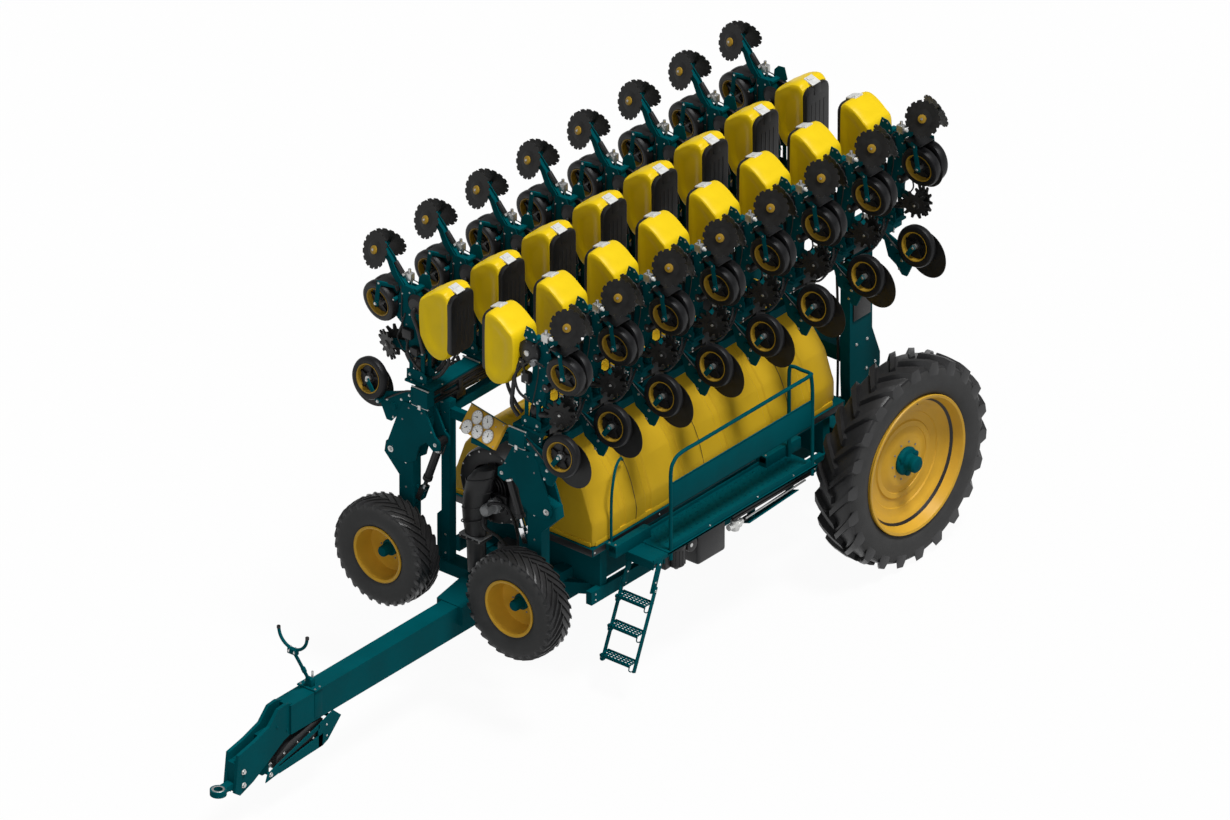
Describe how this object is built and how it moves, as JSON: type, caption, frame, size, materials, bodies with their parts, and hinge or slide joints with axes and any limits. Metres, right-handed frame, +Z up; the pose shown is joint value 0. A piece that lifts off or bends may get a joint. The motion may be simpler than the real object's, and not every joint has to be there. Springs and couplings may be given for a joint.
{
  "type": "corn planter",
  "caption": "Pull-type row-crop planter folded for the road: drawbar with hitch ring, liquid tank on a wheeled frame, and two folding toolbars carrying seed row units and hoppers.",
  "frame": {"origin": "middle of the footprint, on the ground", "axes": "+Z up; +Y from the hitch toward the rear wheels; +X toward the side with the ladder and platform"},
  "size_m": [3.508, 9.542, 4.5732],
  "materials": {
    "teal_paint": "gloss enamel",
    "yellow_paint": "gloss enamel",
    "yellow_plastic": "moulded, semi-gloss",
    "black_plastic": "moulded, satin",
    "tyre_rubber": "matt rubber",
    "zinc": "bright plated"
  },
  "bodies": {
    "chassis": {"drawbar": "teal_paint", "hose_stand": "teal_paint", "main_frame": "teal_paint", "fertilizer_tank": "yellow_plastic", "fan_housing": "black_plastic", "gauge_panel": "yellow_paint", "walkway": "teal_paint", "pump_box": "black_plastic", "hitch_ring": "teal_paint"},
    "parking_leg": {"parking_jack": "teal_paint"},
    "steps": {"ladder": "teal_paint"},
    "lift": {"lift_frame": "teal_paint"},
    "left_road_wheel": {"left_road_rim": "yellow_paint", "left_road_tyre": "tyre_rubber"},
    "left_wing": {"left_wing_beam": "teal_paint"},
    "left_leg": {"left_wing_leg": "teal_paint"},
    "left_wing_wheel": {"left_wing_rim": "yellow_paint", "left_wing_tyre": "tyre_rubber"},
    "left_barrel": {"left_ram_barrel": "black_plastic"},
    "left_rod": {"left_ram_rod": "zinc"},
    "left_row_1": {"row_unit_left_1": "teal_paint", "seed_hopper_left_1": "yellow_plastic"},
    "left_row_2": {"row_unit_left_2": "teal_paint", "seed_hopper_left_2": "yellow_plastic"},
    "left_row_3": {"row_unit_left_3": "teal_paint", "seed_hopper_left_3": "yellow_plastic"},
    "left_row_4": {"row_unit_left_4": "teal_paint", "seed_hopper_left_4": "yellow_plastic"},
    "left_row_5": {"row_unit_left_5": "teal_paint", "seed_hopper_left_5": "yellow_plastic"},
    "left_row_6": {"row_unit_left_6": "teal_paint", "seed_hopper_left_6": "yellow_plastic"},
    "left_row_7": {"row_unit_left_7": "teal_paint", "seed_hopper_left_7": "yellow_plastic"},
    "left_row_8": {"row_unit_left_8": "teal_paint", "seed_hopper_left_8": "yellow_plastic"},
    "right_road_wheel": {"right_road_rim": "yellow_paint", "right_road_tyre": "tyre_rubber"},
    "right_wing": {"right_wing_beam": "teal_paint"},
    "right_leg": {"right_wing_leg": "teal_paint"},
    "right_wing_wheel": {"right_wing_rim": "yellow_paint", "right_wing_tyre": "tyre_rubber"},
    "right_barrel": {"right_ram_barrel": "black_plastic"},
    "right_rod": {"right_ram_rod": "zinc"},
    "right_row_1": {"row_unit_right_1": "teal_paint", "seed_hopper_right_1": "yellow_plastic"},
    "right_row_2": {"row_unit_right_2": "teal_paint", "seed_hopper_right_2": "yellow_plastic"},
    "right_row_3": {"row_unit_right_3": "teal_paint", "seed_hopper_right_3": "yellow_plastic"},
    "right_row_4": {"row_unit_right_4": "teal_paint", "seed_hopper_right_4": "yellow_plastic"},
    "right_row_5": {"row_unit_right_5": "teal_paint", "seed_hopper_right_5": "yellow_plastic"},
    "right_row_6": {"row_unit_right_6": "teal_paint", "seed_hopper_right_6": "yellow_plastic"},
    "right_row_7": {"row_unit_right_7": "teal_paint", "seed_hopper_right_7": "yellow_plastic"},
    "right_row_8": {"row_unit_right_8": "teal_paint", "seed_hopper_right_8": "yellow_plastic"}
  },
  "joints": [
    {"name": "toolbar_rotate", "type": "hinge", "parent": "chassis", "child": "lift", "pos_m": [0, 4.041, 1.02], "axis": [-1, 0, 0], "range_deg": [0, 90]},
    {"name": "ladder_fold", "type": "hinge", "parent": "chassis", "child": "steps", "pos_m": [0, 0.191, 1.085], "axis": [-1, 0, 0], "range_deg": [0, 75]},
    {"name": "parking_leg_swing", "type": "hinge", "parent": "chassis", "child": "parking_leg", "pos_m": [0, -4.039, 0.645], "axis": [-1, 0, 0], "range_deg": [0, 32]},
    {"name": "left_wing_fold", "type": "hinge", "parent": "lift", "child": "left_wing", "pos_m": [0.6, 4.286, 3.003], "axis": [0, 0, 1], "range_deg": [0, 90]},
    {"name": "left_road_wheel_spin", "type": "hinge", "parent": "chassis", "child": "left_road_wheel", "pos_m": [1.524, 3.691, 1.08], "axis": [1, 0, 0], "continuous": true},
    {"name": "left_leg_swing", "type": "hinge", "parent": "left_wing", "child": "left_leg", "pos_m": [0.968, -0.889, 2.32], "axis": [0, -1, 0], "range_deg": [0, 35]},
    {"name": "left_wing_wheel_spin", "type": "hinge", "parent": "left_leg", "child": "left_wing_wheel", "pos_m": [0.82, -1.209, 1.373], "axis": [0, 1, 0], "continuous": true},
    {"name": "left_ram_swing", "type": "hinge", "parent": "left_wing", "child": "left_barrel", "pos_m": [0.415, -0.889, 2.557], "axis": [0, -1, 0], "range_deg": [0, 15.75]},
    {"name": "left_ram_extend", "type": "slide", "parent": "left_barrel", "child": "left_rod", "axis": [0.3403, 0, -0.9403], "range_m": [0, 0.2334]},
    {"name": "left_row_1_float", "type": "slide", "parent": "left_wing", "child": "left_row_1", "axis": [-1, 0, 0], "range_m": [0, 0.1], "stiffness_N_per_m": 6000},
    {"name": "left_row_2_float", "type": "slide", "parent": "left_wing", "child": "left_row_2", "axis": [-1, 0, 0], "range_m": [0, 0.1], "stiffness_N_per_m": 6000},
    {"name": "left_row_3_float", "type": "slide", "parent": "left_wing", "child": "left_row_3", "axis": [-1, 0, 0], "range_m": [0, 0.1], "stiffness_N_per_m": 6000},
    {"name": "left_row_4_float", "type": "slide", "parent": "left_wing", "child": "left_row_4", "axis": [-1, 0, 0], "range_m": [0, 0.1], "stiffness_N_per_m": 6000},
    {"name": "left_row_5_float", "type": "slide", "parent": "left_wing", "child": "left_row_5", "axis": [-1, 0, 0], "range_m": [0, 0.1], "stiffness_N_per_m": 6000},
    {"name": "left_row_6_float", "type": "slide", "parent": "left_wing", "child": "left_row_6", "axis": [-1, 0, 0], "range_m": [0, 0.1], "stiffness_N_per_m": 6000},
    {"name": "left_row_7_float", "type": "slide", "parent": "left_wing", "child": "left_row_7", "axis": [-1, 0, 0], "range_m": [0, 0.1], "stiffness_N_per_m": 6000},
    {"name": "left_row_8_float", "type": "slide", "parent": "left_wing", "child": "left_row_8", "axis": [-1, 0, 0], "range_m": [0, 0.1], "stiffness_N_per_m": 6000},
    {"name": "right_wing_fold", "type": "hinge", "parent": "lift", "child": "right_wing", "pos_m": [-0.6, 4.286, 3.003], "axis": [0, 0, -1], "range_deg": [0, 90]},
    {"name": "right_road_wheel_spin", "type": "hinge", "parent": "chassis", "child": "right_road_wheel", "pos_m": [-1.524, 3.691, 1.08], "axis": [1, 0, 0], "continuous": true},
    {"name": "right_leg_swing", "type": "hinge", "parent": "right_wing", "child": "right_leg", "pos_m": [-0.968, -0.889, 2.32], "axis": [0, 1, 0], "range_deg": [0, 35]},
    {"name": "right_wing_wheel_spin", "type": "hinge", "parent": "right_leg", "child": "right_wing_wheel", "pos_m": [-0.82, -1.209, 1.373], "axis": [0, 1, 0], "continuous": true},
    {"name": "right_ram_swing", "type": "hinge", "parent": "right_wing", "child": "right_barrel", "pos_m": [-0.415, -0.889, 2.557], "axis": [0, 1, 0], "range_deg": [0, 15.75]},
    {"name": "right_ram_extend", "type": "slide", "parent": "right_barrel", "child": "right_rod", "axis": [-0.3403, 0, -0.9403], "range_m": [0, 0.2334]},
    {"name": "right_row_1_float", "type": "slide", "parent": "right_wing", "child": "right_row_1", "axis": [1, 0, 0], "range_m": [0, 0.1], "stiffness_N_per_m": 6000},
    {"name": "right_row_2_float", "type": "slide", "parent": "right_wing", "child": "right_row_2", "axis": [1, 0, 0], "range_m": [0, 0.1], "stiffness_N_per_m": 6000},
    {"name": "right_row_3_float", "type": "slide", "parent": "right_wing", "child": "right_row_3", "axis": [1, 0, 0], "range_m": [0, 0.1], "stiffness_N_per_m": 6000},
    {"name": "right_row_4_float", "type": "slide", "parent": "right_wing", "child": "right_row_4", "axis": [1, 0, 0], "range_m": [0, 0.1], "stiffness_N_per_m": 6000},
    {"name": "right_row_5_float", "type": "slide", "parent": "right_wing", "child": "right_row_5", "axis": [1, 0, 0], "range_m": [0, 0.1], "stiffness_N_per_m": 6000},
    {"name": "right_row_6_float", "type": "slide", "parent": "right_wing", "child": "right_row_6", "axis": [1, 0, 0], "range_m": [0, 0.1], "stiffness_N_per_m": 6000},
    {"name": "right_row_7_float", "type": "slide", "parent": "right_wing", "child": "right_row_7", "axis": [1, 0, 0], "range_m": [0, 0.1], "stiffness_N_per_m": 6000},
    {"name": "right_row_8_float", "type": "slide", "parent": "right_wing", "child": "right_row_8", "axis": [1, 0, 0], "range_m": [0, 0.1], "stiffness_N_per_m": 6000}
  ],
  "couplings": [
    {"joint": "left_wing_fold", "follows": "toolbar_rotate", "ratio": 1},
    {"joint": "left_ram_swing", "follows": "left_leg_swing", "ratio": 0.44716},
    {"joint": "left_ram_extend", "follows": "left_leg_swing", "m_per_rad": 0.37881},
    {"joint": "right_wing_fold", "follows": "toolbar_rotate", "ratio": 1},
    {"joint": "right_ram_swing", "follows": "right_leg_swing", "ratio": 0.44716},
    {"joint": "right_ram_extend", "follows": "right_leg_swing", "m_per_rad": 0.37881}
  ]
}
